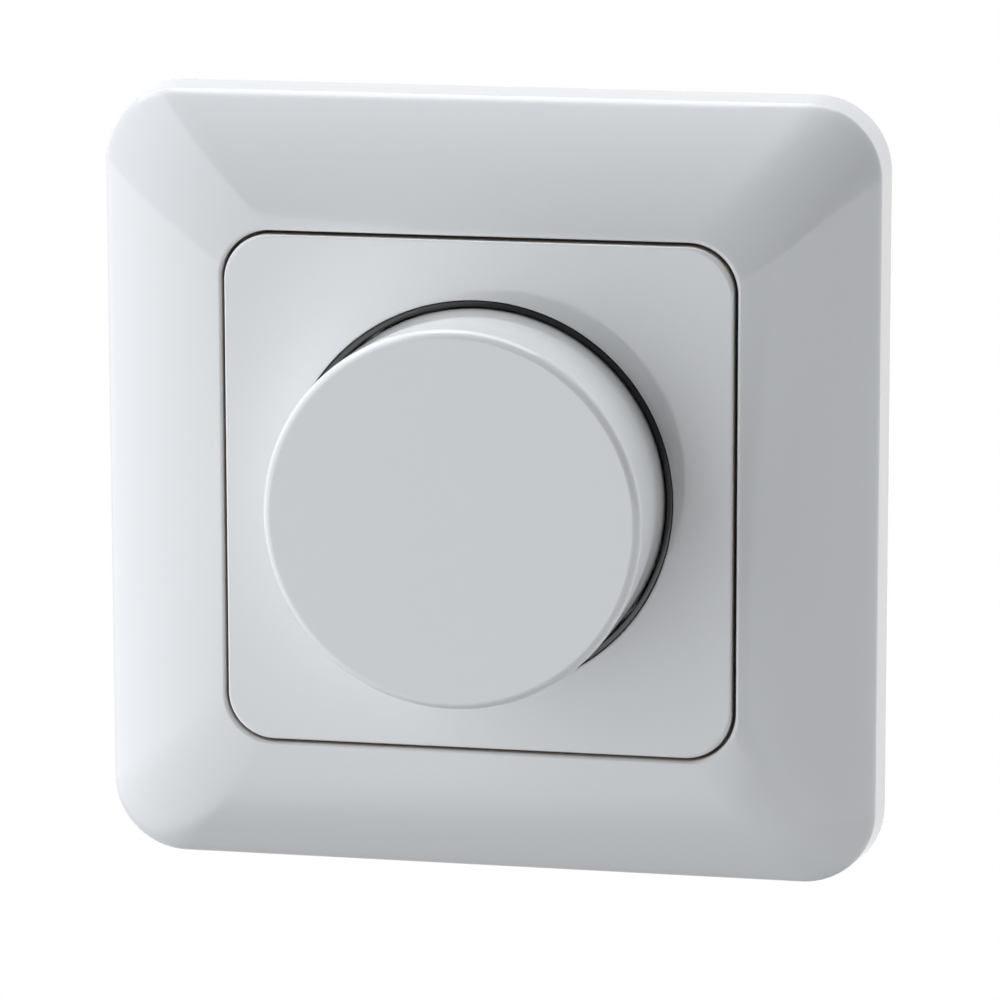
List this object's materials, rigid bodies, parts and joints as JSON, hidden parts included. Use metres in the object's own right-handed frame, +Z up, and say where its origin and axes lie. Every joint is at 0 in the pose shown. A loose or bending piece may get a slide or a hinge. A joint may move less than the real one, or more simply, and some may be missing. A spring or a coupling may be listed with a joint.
{
  "type": "dimmer switch",
  "caption": "Flush wall dimmer: convex square frame, flush centre plate and a round knob that turns to dim and is pushed to switch, with its control, electronics and terminals behind.",
  "frame": {"origin": "on the knob's axis in the wall plane, which is the support plate's rear face, midway between the box screw slots", "axes": "+Z is up on the wall, -Y points from the wall to the viewer, +Y into the wall box, +X to the viewer's right"},
  "size_m": [0.085, 0.0487, 0.085],
  "materials": {
    "white_plastic": "moulded, high gloss",
    "black_trim": "moulded, high gloss",
    "zinc_steel": "zinc plated sheet and screws",
    "spring_steel": "bright spring steel",
    "bush_brass": "turned brass",
    "contact_alloy": "tinned copper alloy",
    "shaft_aluminium": "turned aluminium",
    "sink_aluminium": "sheet aluminium",
    "case_plastic": "dark insulating plastic, fine texture",
    "terminal_plastic": "grey insulating plastic",
    "inner_plastic": "insulating plastic",
    "pale_plastic": "insulating plastic",
    "board_laminate": "glass fibre board with green mask",
    "track_laminate": "paper laminate",
    "carbon_film": "carbon film",
    "pad_silicone": "silicone sheet",
    "black_epoxy": "moulded epoxy",
    "film_resin": "boxed, yellow",
    "bulk_sleeve": "shrink sleeve",
    "ferrite": "sintered ferrite",
    "enamelled_wire": "enamelled copper",
    "fuse_resin": "moulded",
    "varistor_resin": "dipped resin"
  },
  "bodies": {
    "base": {"cover_frame": "white_plastic", "centre_plate": "white_plastic", "trim_ring": "black_trim", "nut_washer": "zinc_steel", "plate_nut": "zinc_steel", "bush_nut": "zinc_steel", "support_plate": "zinc_steel", "threaded_bush": "bush_brass", "pot_housing": "inner_plastic", "track_board": "track_laminate", "resistor_track": "carbon_film", "pot_pins": "contact_alloy", "switch_housing": "inner_plastic", "switch_spring": "spring_steel", "fixed_contacts": "contact_alloy", "heat_sink": "sink_aluminium", "thermal_pads": "pad_silicone", "transistors": "black_epoxy", "transistor_screws": "zinc_steel", "circuit_board": "board_laminate", "film_capacitor": "film_resin", "bulk_capacitor": "bulk_sleeve", "choke_core": "ferrite", "choke_winding": "enamelled_wire", "fuse": "fuse_resin", "varistor": "varistor_resin", "control_chip": "black_epoxy", "trimmer_body": "inner_plastic", "terminal_block": "terminal_plastic", "terminal_cages": "contact_alloy", "terminal_screws": "zinc_steel", "rear_housing": "case_plastic", "housing_screws": "zinc_steel"},
    "rotor": {"pot_rotor": "pale_plastic", "wiper": "contact_alloy"},
    "knob": {"knob": "white_plastic", "knob_clip": "spring_steel", "shaft": "shaft_aluminium", "shaft_clip": "spring_steel"},
    "plunger": {"switch_plunger": "pale_plastic", "contact_bridge": "contact_alloy"},
    "trimmer": {"trimmer_rotor": "pale_plastic"}
  },
  "joints": [
    {"name": "knob_turn", "type": "hinge", "parent": "base", "child": "rotor", "pos_m": [0, 0, 0], "axis": [0, 1, 0], "range_deg": [-135, 135]},
    {"name": "knob_push", "type": "slide", "parent": "rotor", "child": "knob", "axis": [0, 1, 0], "range_m": [0, 0.0015], "stiffness_N_per_m": 1200, "springref_m": -0.003},
    {"name": "plunger_push", "type": "slide", "parent": "base", "child": "plunger", "axis": [0, 1, 0], "range_m": [0, 0.0015], "deforming": ["switch_spring"]},
    {"name": "trimmer_turn", "type": "hinge", "parent": "base", "child": "trimmer", "pos_m": [0.0151, 0, 0.0124], "axis": [0, 1, 0], "range_deg": [-105, 105]}
  ],
  "couplings": [
    {"joint": "plunger_push", "follows": "knob_push", "ratio": 1}
  ]
}
